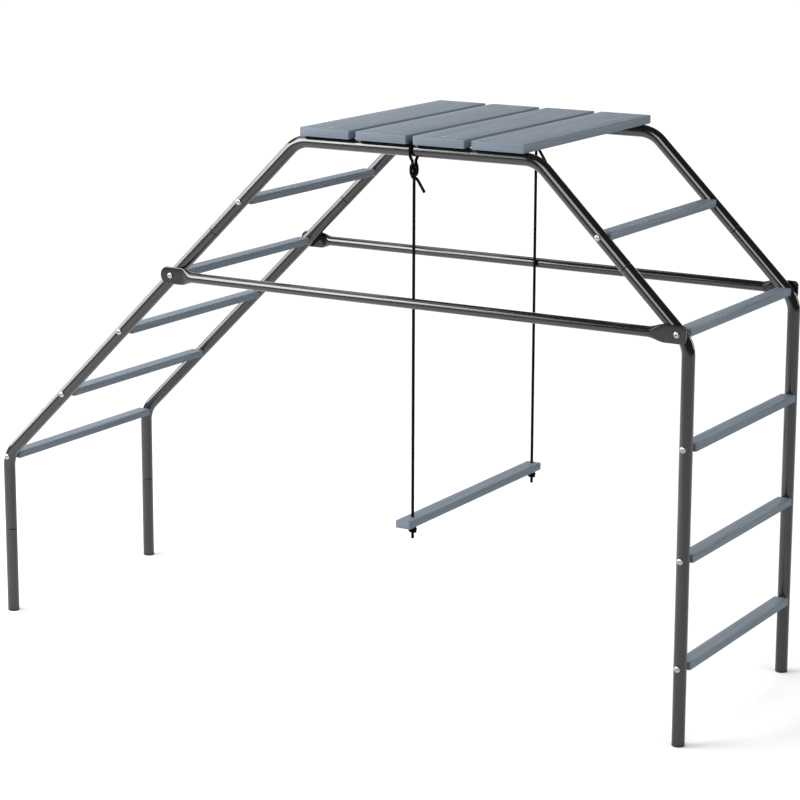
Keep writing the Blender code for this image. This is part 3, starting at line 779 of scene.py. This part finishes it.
def braided_mesh(name, line, radius, count=20):
    """A round braid along a line: its skin sinks a little between the strands."""
    rings = []
    normal = Vector((1.0, 0.0, 0.0))
    travelled = 0.0
    for index, point in enumerate(line):
        before = line[max(index - 1, 0)]
        after = line[min(index + 1, len(line) - 1)]
        ahead = (after - before).normalized()
        normal = (normal - ahead * normal.dot(ahead)).normalized()
        other = ahead.cross(normal)
        travelled += (point - before).length
        ring = []
        for step in range(count):
            angle = 2 * math.pi * step / count
            one_way = math.cos(STRANDS * angle + travelled * PLAIT_TURN)
            other_way = math.cos(STRANDS * angle - travelled * PLAIT_TURN)
            reach = radius * (1 - PLAIT_DEPTH + PLAIT_DEPTH * one_way * other_way)
            ring.append(point + normal * reach * math.cos(angle) + other * reach * math.sin(angle))
        rings.append(ring)
    return loft(name, rings)


def loop_side(y, sign):
    """Half of the loop round a top tube, from its top down to the knot."""
    tilt = math.cos(SWING_LIMIT)
    radius = TUBE_R + ROPE_R + 2 * GAP
    drop = SWING_AXIS_Z - TOP_Z
    points = []
    for step in range(7):
        angle = math.pi / 2 * step / 6
        points.append((SWING_X, y + sign * radius * math.sin(angle), TOP_Z + radius * math.cos(angle)))
    for step in range(1, 5):
        angle = math.pi / 2 * step / 5
        below = (drop + radius * math.sin(angle)) / tilt
        points.append((SWING_X, y + sign * radius * math.cos(angle), SWING_AXIS_Z - below))
    return points


def add_rope_piece(name, node, line):
    """A length of braid along a line, which stands for a rope's node."""
    return add_piece(name, braided_mesh(name, line, ROPE_R), ROPE, "swing", [node], angle=80.0)


def make_rope(side):
    """The rope from the top of its tube to its end under the bar, and the two knots on it."""
    y = frame_y(side)
    node = "swing_rope_" + side
    front = loop_side(y, -1)
    route = front[:-1] + [(SWING_X + x, y + away, z) for x, away, z in THROUGH_KNOT]
    route += [(SWING_X, y, FALL_TOP_Z - FALL_STEP * step) for step in range(FALL_STEPS + 1)]
    route += [(SWING_X, y, 0.520), (SWING_X, y, ROPE_END_Z)]
    line = smooth_line(route, ROPE_STEP)
    rope = add_rope_piece(node + "_braid", node, line)
    knot = add_rope_piece(node + "_knot", node, knot_line(y))
    stopper = add_rope_piece(node + "_stopper", node, stopper_line(y))


def knot_line(y):
    """The loop's other half, a figure-eight round the standing part, and the tail.

    The turns are (across, out, z): across the knot's face, and out of that face.
    """
    low, high = KNOT_BOTTOM_Z, KNOT_TOP_Z
    along_x, along_y = KNOT_ACROSS
    turns = [
        (0.0048, -0.0050, high - 0.0010), (0.0075, -0.0010, high - 0.0100), (0.0092, 0.0010, high - 0.0200),
        (0.0080, 0.0025, low + 0.0160), (0.0030, 0.0075, low + 0.0100), (-0.0045, 0.0068, low + 0.0090),
        (-0.0088, 0.0010, low + 0.0150), (-0.0092, 0.0000, high - 0.0210), (-0.0078, 0.0020, high - 0.0120),
        (-0.0015, 0.0078, high - 0.0080), (0.0050, 0.0062, high - 0.0110), (0.0078, -0.0030, high - 0.0180),
        (0.0030, -0.0085, low + 0.0180), (-0.0040, -0.0075, low + 0.0110), (-0.0050, -0.0010, low + 0.0040),
        (0.0020, 0.0050, low + 0.0025), (0.0085, 0.0040, low - 0.0020), (0.0152, 0.0060, low - 0.0125),
        (0.0222, 0.0090, low - 0.0250), (0.0298, 0.0150, low - 0.0385),
    ]
    points = loop_side(y, 1)[:-1]
    for across, out, z in turns:
        x_shift = along_x * across + along_y * out
        y_shift = along_y * across - along_x * out
        points.append((SWING_X + x_shift, y + y_shift, z))
    return smooth_line(points, ROPE_STEP)


def stopper_line(y):
    """The turns of rope of the knot under the bar, widest in the middle."""
    top = BAR_TOP_Z - BAR_THICKNESS - ROPE_R - 0.0007
    points = []
    for step in range(41):
        share = step / 40
        angle = -0.6 + 2 * math.pi * STOPPER_TURNS * share
        reach = 0.0088 - 0.0020 * (2 * share - 1) ** 2
        z = top - STOPPER_DROP * share
        points.append((SWING_X + reach * math.cos(angle), y + reach * math.sin(angle), z))
    return smooth_line(points, ROPE_STEP)


def make_swing_bar():
    """The trapeze bar, with an eased hole for each rope."""
    tie_reach = FRAME_HALF + TUBE_R + GAP + TIE_FLAT_THICKNESS / 2 + TIE_R
    start = -(FRAME_MID_Y + tie_reach)
    size = (BAR_WIDTH, BAR_LENGTH, BAR_THICKNESS)
    centre = (SWING_X, start + BAR_LENGTH / 2, BAR_TOP_Z - BAR_THICKNESS / 2)
    plank = plank_mesh("swing_bar", size, centre, BAR_EDGE, 41.0)
    profile = [
        (0.0066, 0.002), (0.0066, 0.0002), (0.0054, -0.0012), (0.0054, -0.0218),
        (0.0066, -0.0232), (0.0066, -0.026),
    ]
    hole = turned_mesh("rope_hole", profile, 32)
    bar = cut(plank, [(hole, Matrix.Translation((SWING_X, frame_y(side), BAR_TOP_Z))) for side in SIDES])
    add_piece("swing_bar_timber", bar, WOOD, "swing", ["swing_bar"])


# ---- the whole scene ---------------------------------------------------------------------
def rung_places():
    """Name and (x, z) of every rung, from the bottom of the left side to that of the right."""
    places = {"rung_left_1": arc_middle(LEFT_BEND, (LEFT_LEG_X, 0.0), TOP_LEFT)}
    for number, z in enumerate(LEFT_RUNG_Z, start=2):
        places["rung_left_%d" % number] = on_line(LEFT_BEND, TOP_LEFT, z)
    for number, z in enumerate(LADDER_RUNG_Z, start=1):
        places["rung_right_%d" % number] = (RIGHT_LEG_X, z)
    for number, z in enumerate(RIGHT_SLOPE_RUNG_Z, start=4):
        places["rung_right_%d" % number] = on_line(TOP_RIGHT, RIGHT_BEND, z)
    return places


make_camera()
make_world()
# name, azimuth and elevation in degrees, distance, size and radiance; the fills end in False
softbox("key_left", 190, 15, 6.0, (4.9, 2.8), 6.0)
softbox("key_right", 226, 26, 6.0, (3.1, 3.6), 13.0)
softbox("wing", 245, 22, 6.5, (1.4, 2.4), 3.5)
softbox("front", 282, 28, 7.0, (3.0, 4.0), 6.0)
softbox("upper_left", 172, 56, 5.0, (6.0, 2.6), 2.0)
softbox("side", 42, 14, 7.0, (1.2, 2.4), 8.0)
softbox("rim", 108, 10, 7.0, (10.0, 2.6), 2.0)
softbox("fill_top", 150, 78, 6.0, (5.0, 5.0), 3.0, False)
softbox("fill_right", 350, 25, 6.0, (5.0, 4.0), 3.0, False)
make_floor()
PAINT = paint_material()
WOOD = wood_material("blue_grey_stain", (0.112, 0.138, 0.167), (0.092, 0.115, 0.140), (0.070, 0.089, 0.112))
ROPE = rope_material()
ZINC = metal_material("zinc", (0.36, 0.31, 0.285), (0.45, 0.395, 0.365), 0.24)
SCREW = metal_material("yellow_zinc", (0.34, 0.26, 0.18), (0.45, 0.35, 0.25), 0.34)
PLASTIC = plastic_material()
places = rung_places()
for side in SIDES:
    make_side_frame(side)
    make_tie_bar(side, places["rung_left_4"][0], places["rung_right_4"][0])
    make_rope(side)
make_rungs(places)
make_bolts(places)
make_platform()
make_swing_bar()
